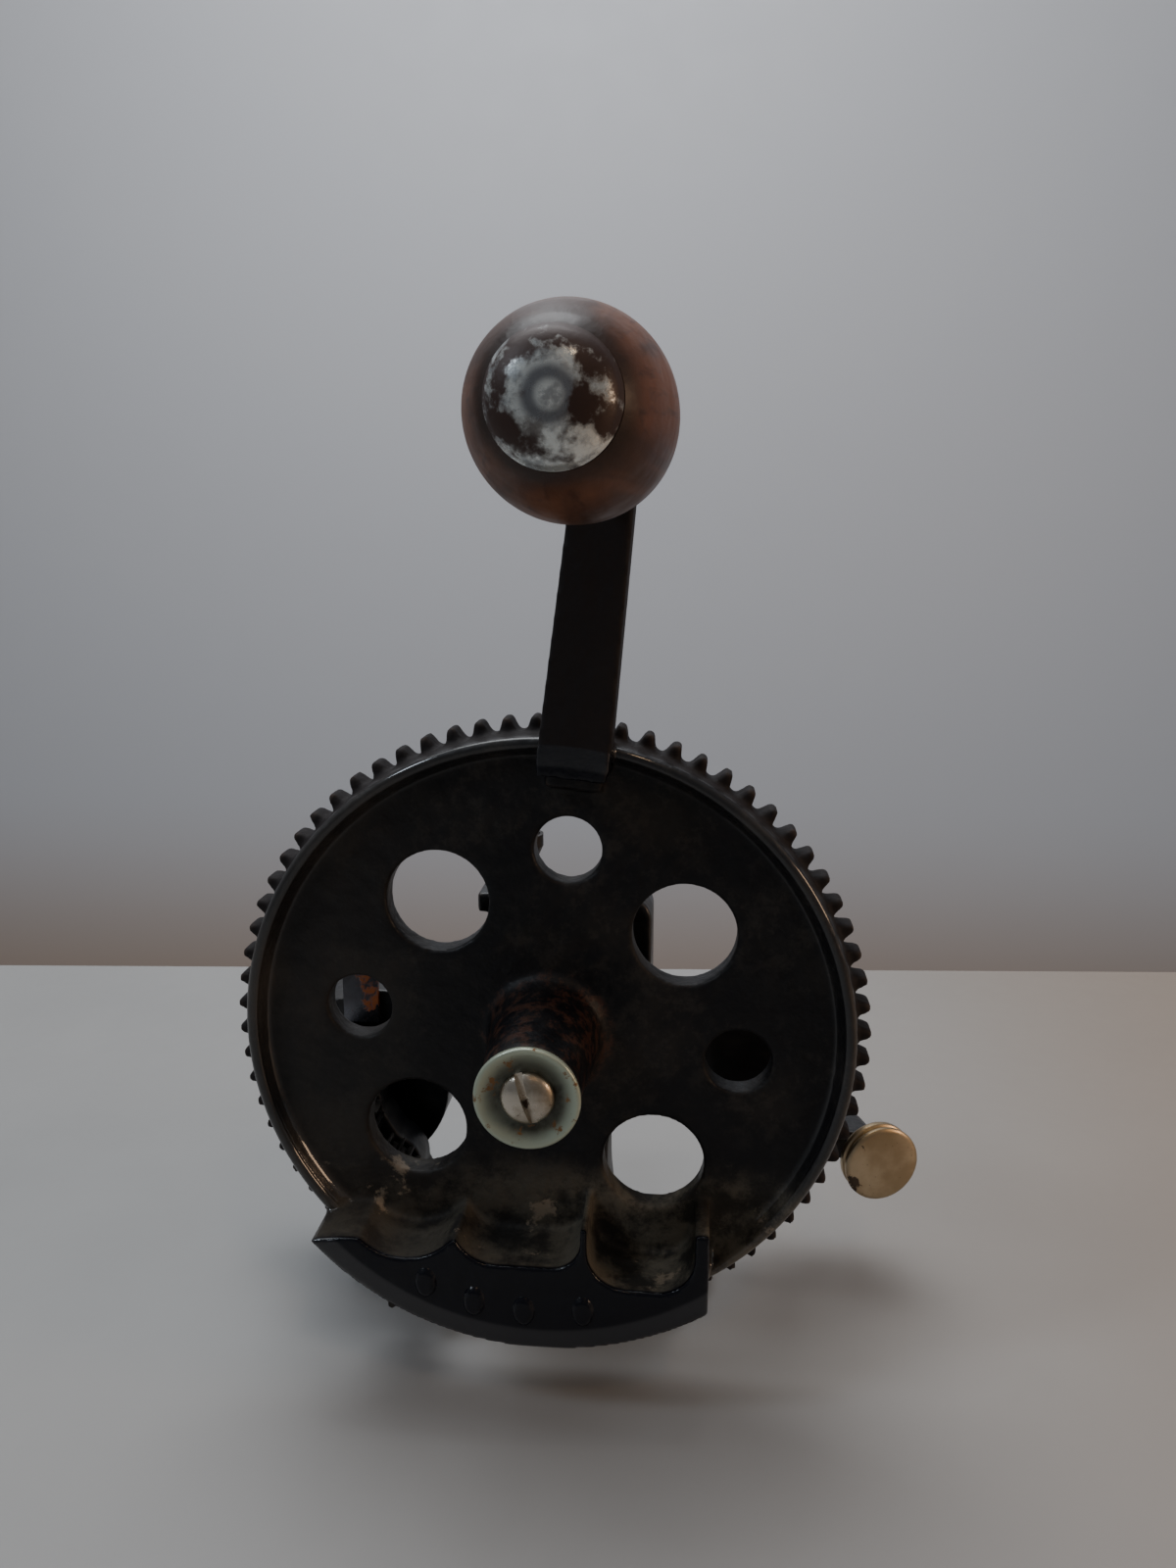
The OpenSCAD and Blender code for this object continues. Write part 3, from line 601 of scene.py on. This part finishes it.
@dataclass(frozen=True)
class CupNickel:
    """The cup washer's plating, pale green on the rim and brown in the dish, darkened towards the screw as
    painted shade.
    """

    axle: Vector
    rim: Colour = (0.42, 0.47, 0.37)
    # Dark brown of the dish, partly painted shade in the hollow around the screw.
    dish: Colour = (0.02, 0.017, 0.01)
    rust: Colour = (0.2, 0.1, 0.035)

    def dress(self) -> bpy.types.Material:
        """Builds the material."""
        sheet = FinishSheet("cup_nickel")
        radius = sheet.radius(self.axle)
        cloud = sheet.grain(150, 5, 0.65)
        # Brown dish and painted shade: darkens inwards from the rim towards the screw.
        dish_brown_and_shade = sheet.both(sheet.ramp(radius, 0.0068, 0.0106, 1, 0), sheet.ramp(cloud, 0.3, 0.6, 1, 0.8))
        colour = sheet.blend(dish_brown_and_shade, self.rim, self.dish)
        spots = sheet.ramp(sheet.grain(230, 5, 0.7), 0.58, 0.66)
        sheet.colour(sheet.blend(spots, colour, self.rust))
        sheet.metal(sheet.ramp(sheet.either(spots, dish_brown_and_shade), 0, 1, 0.5, 0.3))
        sheet.rough(sheet.ramp(cloud, 0.35, 0.65, 0.3, 0.48))
        sheet.bumps((sheet.grain(500, 4), 0.00006))
        return sheet.material


# ---- hand work ----


def let_go() -> None:
    """Deselects everything."""
    bpy.ops.object.select_all(action="DESELECT")


def take(piece: bpy.types.Object) -> None:
    """Selects one piece alone and makes it active."""
    let_go()
    piece.select_set(True)
    bpy.context.view_layer.objects.active = piece


def apply_modifier(piece: bpy.types.Object, kind: str, **settings: object) -> None:
    """Adds a modifier to the active piece and applies it.

    Args:
        piece: The piece.
        kind: The modifier's type.
        settings: Its settings.
    """
    take(piece)
    bpy.ops.object.modifier_add(type=kind)
    modifier = piece.modifiers[-1]
    for name, value in settings.items():
        setattr(modifier, name, value)
    bpy.ops.object.modifier_apply(modifier=modifier.name)


def close_mesh(piece: bpy.types.Object, reach: float = 0.02 * MM) -> None:
    """Merges a piece's doubles and points its faces outwards.

    Args:
        piece: The piece.
        reach: How close two points are merged.
    """
    take(piece)
    bpy.ops.object.mode_set(mode="EDIT")
    bpy.ops.mesh.select_all(action="SELECT")
    bpy.ops.mesh.remove_doubles(threshold=reach)
    bpy.ops.mesh.normals_make_consistent(inside=False)
    bpy.ops.object.mode_set(mode="OBJECT")


def settle(piece: bpy.types.Object, sharp_deg: float = 35) -> None:
    """Applies a piece's place and shades it smooth below an angle.

    Args:
        piece: The piece.
        sharp_deg: Edges above this angle stay sharp.
    """
    take(piece)
    bpy.ops.object.transform_apply(location=True, rotation=True, scale=True)
    bpy.ops.object.shade_smooth_by_angle(angle=math.radians(sharp_deg))


def turn_piece(name: str, centre: Vector, profile: Profile, direction: Sequence[float] = (0, -1, 0),
               around: int = 96) -> bpy.types.Object:
    """Turns a profile about an axis, as on a lathe.

    Args:
        name: The piece's name.
        centre: Where the profile's zero is on the axis, in metres.
        profile: Pairs of radius and distance along the axis, in millimetres.
        direction: Which way the axis points.
        around: How many steps go round.

    Returns:
        The closed piece.
    """
    least = 0.004
    steps = [(max(r, least) * MM, z * MM) for r, z in profile]
    let_go()
    bpy.ops.mesh.primitive_circle_add(vertices=around, radius=steps[0][0], location=(0, 0, steps[0][1]))
    piece = bpy.context.active_object
    piece.name = piece.data.name = name
    bpy.ops.object.transform_apply(location=True, rotation=False, scale=False)
    bpy.ops.object.mode_set(mode="EDIT")
    bpy.ops.mesh.select_all(action="SELECT")
    for (r0, z0), (r1, z1) in pairwise(steps):
        bpy.ops.mesh.extrude_edges_move(TRANSFORM_OT_translate={"value": (0, 0, z1 - z0)})
        bpy.ops.transform.resize(value=(r1 / r0, r1 / r0, 1), center_override=(0, 0, z1))
    bpy.ops.object.mode_set(mode="OBJECT")
    close_mesh(piece)
    piece.rotation_mode = "QUATERNION"
    piece.rotation_quaternion = Vector(direction).to_track_quat("Z", "Y")
    piece.location = centre
    settle(piece)
    return piece


def cut_away(piece: bpy.types.Object, cutter: bpy.types.Object) -> None:
    """Cuts one piece's shape out of another and removes the cutter.

    Args:
        piece: The piece that is cut.
        cutter: The shape that is cut away.
    """
    apply_modifier(piece, "BOOLEAN", operation="DIFFERENCE", solver="EXACT", object=cutter)
    bpy.data.objects.remove(cutter)


def soft_casting(node: bpy.types.Object, name: str, grid: float, passes: int,
                 keep: float) -> bpy.types.Object:
    """Copies a casting and gives it the rounded edges and corners of sand-cast iron.

    Args:
        node: The CAD node.
        name: The new piece's name.
        grid: The size of the new mesh's faces, in metres.
        passes: How often it is smoothed.
        keep: The share of its faces that stays.

    Returns:
        The new piece.
    """
    take(node)
    bpy.ops.object.duplicate()
    piece = bpy.context.active_object
    bpy.ops.object.parent_clear(type="CLEAR_KEEP_TRANSFORM")
    for key in [k for k in piece.keys() if k.startswith("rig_")]:
        del piece[key]
    piece.name = piece.data.name = name
    close_mesh(piece, 0.002 * MM)
    apply_modifier(piece, "REMESH", mode="VOXEL", voxel_size=grid)
    apply_modifier(piece, "SMOOTH", factor=0.5, iterations=passes)
    apply_modifier(piece, "DECIMATE", ratio=keep)
    settle(piece, 50)
    return piece


def dress(piece: bpy.types.Object, material: bpy.types.Material) -> None:
    """Gives every material slot of a piece or a CAD node one material.

    Args:
        piece: The piece or node.
        material: The material.
    """
    if not piece.material_slots:
        piece.data.materials.append(material)
    for slot in piece.material_slots:
        slot.material = material


def place_piece(piece: bpy.types.Object, body: Body, slot: Slot, material: bpy.types.Material,
                *nodes: str) -> None:
    """Dresses a finished piece, puts it on its body and hides the nodes that it stands for.

    Args:
        piece: The piece.
        body: The body that it moves with.
        slot: The record's material slot; not used.
        material: Its material.
        nodes: The CAD nodes that it replaces.
    """
    piece.data.materials.clear()
    dress(piece, material)
    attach(piece, body.value)
    if nodes:
        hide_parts(*nodes)
    log.info("%s: %d faces on %s", piece.name, len(piece.data.polygons), body.value)


# ---- sub-assemblies ----


@dataclass
class CrankWheel:
    """The crank wheel's casting, with the ornament on its counterweight and the fittings of its hub."""

    nodes: dict[str, bpy.types.Object]
    axle: Vector
    tooth_plane: float
    hub_front: float = 31.4 * MM
    web_front: float = 2.6 * MM
    weight_front: float = 18.6 * MM
    scallop_top: float = 57.5 * MM
    ornament_r: float = 60.7 * MM
    ornament_angles: tuple[float, ...] = (-115.6, -104.4, -93.5, -80.7)
    boss_w: float = 2.9 * MM
    boss_h: float = 4.1 * MM
    boss_t: float = 0.9 * MM
    boss_sink: float = 0.3 * MM
    bead_ring_r: float = 68.35
    bead_front: float = 5.2
    bead_r: float = 1.45
    cup_sink: float = 0.2 * MM
    dish_t: float = 1.42 * MM
    slot_w: float = 1.7 * MM
    slot_turn: float = math.radians(108)

    def build(self) -> None:
        """Builds and dresses the wheel's pieces."""
        japan = WheelJapan(self.axle, self.tooth_plane - self.weight_front, self.tooth_plane - self.web_front,
                           self.scallop_top).dress()
        casting = soft_casting(self.nodes["crank_wheel"], "wheel_casting", 0.62 * MM, 7, 0.42)
        place_piece(casting, Body.CRANK, Slot.WHEEL, japan, "crank_wheel")
        place_piece(self.rim_bead(), Body.CRANK, Slot.WHEEL, japan)
        for number, angle in enumerate(self.ornament_angles):
            place_piece(self.boss(number, math.radians(angle)), Body.CRANK, Slot.WHEEL, japan)
        place_piece(self.cup(), Body.FRAME, Slot.NICKEL, CupNickel(self.axle).dress(), "cup_washer")
        place_piece(self.screw(), Body.FRAME, Slot.STEEL, SCREW_NICKEL.dress(), "axle_screw")

    def rim_bead(self) -> bpy.types.Object:
        """Turns the half-round bead on the crest of the rim."""
        middle = Vector((self.axle.x, self.tooth_plane, self.axle.z))
        section = [(self.bead_ring_r + self.bead_r * math.sin(a), self.bead_front + self.bead_r * math.cos(a))
                   for a in (math.radians(d) for d in range(-180, 181, 18))]
        return turn_piece("rim_bead_turned", middle, section, around=288)

    def boss(self, number: int, angle: float) -> bpy.types.Object:
        """Makes one raised oval on the counterweight's face.

        Args:
            number: Its number in the row.
            angle: Its direction from the axle, in radians.

        Returns:
            The oval.
        """
        place = (self.axle.x + self.ornament_r * math.cos(angle),
                 self.tooth_plane - self.weight_front + self.boss_sink,
                 self.axle.z + self.ornament_r * math.sin(angle))
        let_go()
        bpy.ops.mesh.primitive_circle_add(vertices=24, radius=1, fill_type="NGON", location=place,
                                          rotation=(math.pi / 2, 0, 0))
        piece = bpy.context.active_object
        piece.name = piece.data.name = f"weight_boss_{number}"
        piece.scale = (self.boss_w, self.boss_h, 1)
        bpy.ops.object.transform_apply(location=False, rotation=False, scale=True)
        bpy.ops.object.mode_set(mode="EDIT")
        bpy.ops.mesh.select_all(action="SELECT")
        rise = self.boss_t + self.boss_sink
        bpy.ops.mesh.extrude_region_move(TRANSFORM_OT_translate={"value": (0, -rise, 0)})
        bpy.ops.transform.resize(value=(0.6, 1, 0.66), center_override=(place[0], place[1] - rise, place[2]))
        bpy.ops.object.mode_set(mode="OBJECT")
        apply_modifier(piece, "BEVEL", width=0.4 * MM, segments=4, limit_method="ANGLE")
        close_mesh(piece, 0.001 * MM)
        settle(piece)
        return piece

    def cup(self) -> bpy.types.Object:
        """Turns the cup washer, with its rolled rim and its dish."""
        seat = Vector((self.axle.x, self.tooth_plane - self.hub_front - self.cup_sink, self.axle.z))
        profile = [
            (2.6, 0), (9.2, 0), (10.3, 0.5), (10.95, 1.5), (11.15, 2.3), (11.1, 2.75), (10.85, 3.05),
            (10.5, 3.15), (10.1, 3.1), (9.6, 2.85), (8.6, 2.3), (7.4, 1.8), (6.4, 1.5), (5.6, 1.42),
            (2.6, 1.42), (2.6, 0),
        ]
        return turn_piece("cup_washer_turned", seat, profile)

    def screw(self) -> bpy.types.Object:
        """Turns the domed screw and cuts its slot."""
        seat = Vector((self.axle.x, self.tooth_plane - self.hub_front - self.cup_sink - self.dish_t,
                       self.axle.z))
        dome = [(5.7 * math.cos(a), 0.6 + 2.6 * math.sin(a))
                for a in (math.radians(d) for d in range(0, 91, 6))]
        piece = turn_piece("axle_screw_turned", seat, [(0, -13), (2.3, -13), (2.3, 0), (5.5, 0), *dome])
        let_go()
        bpy.ops.mesh.primitive_cube_add(size=1, location=(seat.x, seat.y - 3 * MM, seat.z))
        cutter = bpy.context.active_object
        cutter.scale = (14 * MM, 4.6 * MM, self.slot_w)
        cutter.rotation_euler = (0, -self.slot_turn, 0)
        bpy.ops.object.transform_apply(location=True, rotation=True, scale=True)
        cut_away(piece, cutter)
        settle(piece)
        return piece


@dataclass
class CrankGrip:
    """The wooden grip with its cap."""

    centre: Vector
    tooth_plane: float
    neck: float = 16.3
    neck_r: float = 8.6
    front: float = 100.0
    nose: float = 23.0
    nose_curve: float = 29.0
    grip_r: float = 15.3
    pin_r: float = 4.05
    cap_gap: float = 0.3
    cap_dome_r: float = 8.6
    cap_dome_h: float = 4.2
    cap_rim_h: float = 0.8
    bore_r: float = 4.02
    bore_depth: float = 1.52

    def grip_radius(self, place: float) -> float:
        """Gives the grip's radius.

        Args:
            place: The distance in front of the tooth plane, in millimetres.

        Returns:
            The radius in millimetres.
        """
        widest = self.front - self.nose
        if place > widest:
            return self.grip_r * math.sqrt(1 - ((place - widest) / self.nose_curve) ** 2)
        share = (place - self.neck) / (widest - self.neck)
        return self.neck_r + (self.grip_r - self.neck_r) * math.sin(math.pi / 2 * share**0.9) ** 1.35

    def build(self) -> None:
        """Builds and dresses the grip's pieces."""
        base = Vector((self.centre.x, self.tooth_plane, self.centre.z))
        wood = StainedWood(base, self.tooth_plane - self.front * MM).dress()
        place_piece(self.grip(base), Body.GRIP, Slot.WOOD, wood, "crank_grip")
        place_piece(self.cap(base), Body.CRANK, Slot.NICKEL, CapNickel(base).dress(), "grip_cap")

    def grip(self, base: Vector, steps: int = 64) -> bpy.types.Object:
        """Turns the grip, with the hole for its pin.

        Args:
            base: Where its axis crosses the tooth plane.
            steps: How many steps its outside has.

        Returns:
            The grip.
        """
        outside = [(self.grip_radius(z), z) for z in
                   (self.neck + (self.front - self.neck) * i / steps for i in range(steps + 1))]
        nose_r = outside[-1][0]
        nose = [(nose_r - 0.35, self.front - 0.1), (nose_r - 0.9, self.front)]
        profile = [(self.pin_r, self.neck), (7.9, self.neck), *outside[1:-1], *nose,
                   (self.pin_r, self.front), (self.pin_r, self.neck)]
        return turn_piece("grip_turned", base, profile, around=128)

    def cap(self, base: Vector) -> bpy.types.Object:
        """Turns the domed cap, with the blind hole for the grip's pin.

        Args:
            base: Where its axis crosses the tooth plane.

        Returns:
            The cap.
        """
        face = self.front + self.cap_gap
        spring = face + self.cap_rim_h
        dome = [(self.cap_dome_r * math.cos(a), spring + self.cap_dome_h * math.sin(a))
                for a in (math.radians(d) for d in range(8, 91, 5))]
        bore = [(0, face + self.bore_depth), (self.bore_r, face + self.bore_depth), (self.bore_r, face)]
        outline = [*bore, (8.55, face), (8.85, face + 0.25), (8.9, face + 0.7), *dome,
                   (0, spring + self.cap_dome_h)]
        return turn_piece("grip_cap_turned", base, outline, around=128)


@dataclass
class SideKnob:
    """The nickel knob at the right, turned a little outwards."""

    centre: Vector = Vector((85.5, 14.2, 36.6)) * MM
    turned: float = math.radians(18)

    def build(self) -> None:
        """Turns and dresses the knob."""
        out = (math.sin(self.turned), -math.cos(self.turned), 0)
        profile = [
            (0, -3.88), (2.52, -3.88), (2.52, -8.9), (3.9, -8.9), (3.9, -6.2), (8.9, -5.85), (9.7, -5.6),
            (10.1, -5.1), (10.2, -4.4), (10.1, -3.7), (9.7, -3.3), (8.8, -3.1), (8.7, -2.6), (8.8, -2.1),
            (9.9, -1.85), (10.35, -1.5), (10.5, -1), (10.4, -0.5), (10, -0.12), (9.3, 0.06), (7, 0.22),
            (4, 0.34), (0, 0.38),
        ]
        knob = turn_piece("pull_knob_turned", self.centre, profile, out)
        place_piece(knob, Body.CARRIAGE, Slot.NICKEL, KNOB_NICKEL.dress(), "pull_knob")


@dataclass
class Castings:
    """The black castings behind the wheel."""

    nodes: dict[str, bpy.types.Object]
    passes: int = 4

    def build(self) -> None:
        """Rounds and dresses the castings."""
        japan = Japan().dress()
        for node, body, grid, keep in (
            ("frame_casting", Body.FRAME, 0.62 * MM, 0.4),
            ("cutter_guard", Body.FRAME, 0.5 * MM, 0.5),
            ("guard_lid", Body.LID, 0.5 * MM, 0.4),
            ("carriage", Body.CARRIAGE, 0.5 * MM, 0.5),
        ):
            piece = soft_casting(self.nodes[node], f"{node}_cast", grid, self.passes, keep)
            place_piece(piece, body, Slot.JAPAN, japan, node)


@dataclass
class SmallParts:
    """The turned and cut parts that keep their CAD shape."""

    nodes: dict[str, bpy.types.Object]
    oily: tuple[str, ...] = ("wheel_pinion", "lay_gear", "idler_gear", "spindle_gear", "oil_cup")
    steel: tuple[str, ...] = (
        "stub_axle", "axle_washer", "axle_nut", "idler_stud", "guard_screws", "lid_pin", "chip_plate_screw",
        "grip_spindle", "lay_shaft", "lay_collar", "cutter_spindle", "cutter_nut", "guide_rods",
        "rod_screws", "chuck_tube", "chuck_jaws",
    )
    brass: tuple[str, ...] = ("lay_bush", "spindle_bush", "hub_bush")
    nickel: tuple[str, ...] = ("grip_washer", "lid_knob", "knob_stem", "collet_nut")

    def build(self) -> None:
        """Dresses the parts."""
        for names, finish in ((self.oily, OILY_STEEL), (self.steel, STEEL), (self.brass, BRASS),
                              (self.nickel, DULL_NICKEL), (("chip_plate",), PLATE_NICKEL),
                              (("milling_cutter",), CUTTER_STEEL)):
            material = finish.dress()
            for name in names:
                dress(self.nodes[name], material)
            log.info("%s on %d parts", finish.name, len(names))


# ---- studio ----


@dataclass(frozen=True)
class SoftLight:
    """One square lamp of the studio, with its power in watts and its sizes in metres."""

    name: str
    place: tuple[float, float, float]
    target: tuple[float, float, float]
    size: float
    power: float
    colour: Colour

    def hang(self) -> None:
        """Adds the lamp to the scene."""
        bpy.ops.object.light_add(type="AREA", location=self.place)
        light = bpy.context.active_object
        light.name = self.name
        light.rotation_mode = "QUATERNION"
        light.rotation_quaternion = (Vector(self.target) - Vector(self.place)).to_track_quat("-Z", "Y")
        light.data.size = self.size
        light.data.energy = self.power
        light.data.color = self.colour


LIGHTS = (
    SoftLight("ceiling_light", (-0.25, 0.35, 1.5), (0, 0.25, 0), 1.3, 8.2, (0.92, 0.96, 1)),
    SoftLight("wall_light", (-0.15, 0.3, 1.2), (0, 1.1, -0.15), 0.7, 7, (0.95, 0.97, 1)),
    SoftLight("window_light", (-0.7, -0.45, 0.85), (0, 0, 0.12), 0.18, 2.4, (0.78, 0.88, 1)),
    SoftLight("ceiling_lamp", (0.32, -0.7, 1.05), (0, 0, 0.1), 0.1, 0.75, (1, 0.68, 0.42)),
    SoftLight("side_lamp", (0.75, -0.2, 0.3), (0.05, 0, 0.03), 0.2, 1.4, (1, 0.66, 0.42)),
)


@dataclass
class Studio:
    """The pale table and wall, the lights and the camera."""

    edge_left: Vector = Vector((-299.7, 224.2, 0)) * MM
    edge_right: Vector = Vector((261.3, 268.5, 0)) * MM
    table_depth: float = 2.4
    table_colour: Colour = (0.345, 0.342, 0.335)
    # Warm colour of a painted pool of lamp light on the right of the table.
    warm_light_right: Colour = (0.305, 0.25, 0.205)
    wall_colour: Colour = (0.6, 0.61, 0.64)
    # Darker brownish colour of the painted shade at the foot of the wall.
    wall_low_shade: Colour = (0.46, 0.355, 0.285)
    wall_y: float = 1.1
    room_colour: Colour = (0.86, 0.88, 0.92)
    room_front: float = 0.17
    room_back: float = 0.36
    camera_place: Vector = Vector((33.29, -282.46, 205.18)) * MM
    camera_forward: Vector = Vector((-0.09253, 0.97307, -0.2111)).normalized()
    camera_right: Vector = Vector((0.99551, 0.09466, 0)).normalized()
    lens: float = 27

    def build(self) -> None:
        """Sets up the table, the wall, the lights and the camera."""
        self.table()
        self.wall()
        for light in LIGHTS:
            light.hang()
        self.surroundings()
        self.camera()

    def board(self, name: str, scale: Sequence[float], place: Sequence[float],
              turn: Sequence[float]) -> FinishSheet:
        """Adds one flat board of the set.

        Args:
            name: Its name.
            scale: Its two sides, in metres.
            place: Its middle.
            turn: Its angles, in radians.

        Returns:
            Its finish, still without a colour.
        """
        let_go()
        bpy.ops.mesh.primitive_plane_add(size=1, location=place, rotation=turn)
        board = bpy.context.active_object
        board.name = name
        board.scale = (*scale, 1)
        bpy.ops.object.transform_apply(location=True, rotation=True, scale=True)
        sheet = FinishSheet(name)
        sheet.rough(sheet.ramp(sheet.grain(30), 0.3, 0.7, 0.45, 0.6))
        dress(board, sheet.material)
        return sheet

    def table(self) -> None:
        """Lays the table, whose back edge runs between the two given points."""
        along = (self.edge_right - self.edge_left).normalized()
        turn = math.atan2(along.y, along.x)
        inwards = Vector((along.y, -along.x, 0))
        middle = (self.edge_left + self.edge_right) / 2 + inwards * self.table_depth / 2
        sheet = self.board("table_top", (4, self.table_depth), middle, (0, 0, turn))
        tone = sheet.ramp(sheet.grain(9, 4), 0.3, 0.7)
        plain = sheet.blend(tone, self.table_colour, tuple(0.94 * c for c in self.table_colour))
        # Painted light: the right of the table is tinted warm, as lamp light painted into its colour.
        sheet.colour(sheet.blend(sheet.beyond(Axis.X, 0, 0.3), plain, self.warm_light_right))

    def wall(self) -> None:
        """Stands the wall behind the table."""
        sheet = self.board("back_wall", (6, 4), (0, self.wall_y, 0.6), (math.pi / 2, 0, 0))
        # Painted shade: the wall darkens and turns browner towards its foot near the table.
        plain = sheet.beyond(Axis.Z, -0.42, -0.1)
        sheet.colour(sheet.blend(plain, self.wall_low_shade, self.wall_colour))

    def surroundings(self) -> None:
        """Fills the room with soft grey light."""
        world = bpy.data.worlds.new("room")
        bpy.context.scene.world = world
        world.use_nodes = True
        nodes, links = world.node_tree.nodes, world.node_tree.links
        facing = nodes.new("ShaderNodeSeparateXYZ")
        links.new(nodes.new("ShaderNodeTexCoord").outputs["Generated"], facing.inputs[0])
        fade = nodes.new("ShaderNodeMapRange")
        links.new(facing.outputs["Y"], fade.inputs["Value"])
        for socket, level in (("From Min", -0.6), ("From Max", 0.7), ("To Min", self.room_front),
                              ("To Max", self.room_back)):
            fade.inputs[socket].default_value = level
        nodes["Background"].inputs["Color"].default_value = (*self.room_colour, 1)
        links.new(fade.outputs["Result"], nodes["Background"].inputs["Strength"])

    def camera(self) -> None:
        """Places the camera a little above and to the right of the grip."""
        bpy.ops.object.camera_add()
        camera = bpy.context.active_object
        camera.name = "view_camera"
        up = self.camera_right.cross(self.camera_forward)
        turn = Matrix((self.camera_right, up, -self.camera_forward)).transposed()
        camera.matrix_world = Matrix.Translation(self.camera_place) @ turn.to_4x4()
        camera.data.lens = self.lens
        camera.data.sensor_width = 36
        camera.data.clip_start = 0.01
        bpy.context.scene.camera = camera


def joint_place(name: str) -> Vector:
    """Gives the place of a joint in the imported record, in metres."""
    return Vector(next(joint["pos_m"] for joint in frame["joints"] if joint["name"] == name))


def main() -> None:
    """Builds the machine's looks and the studio."""
    logging.basicConfig(level=logging.INFO, format="%(name)s: %(message)s")
    nodes = frame["nodes"]
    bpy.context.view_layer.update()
    axle = joint_place("crank_spin")
    tooth_plane = axle.y
    Castings(nodes).build()
    SmallParts(nodes).build()
    CrankWheel(nodes, axle, tooth_plane).build()
    CrankGrip(joint_place("grip_spin"), tooth_plane).build()
    SideKnob().build()
    Studio().build()


if __name__ == "__main__":
    main()
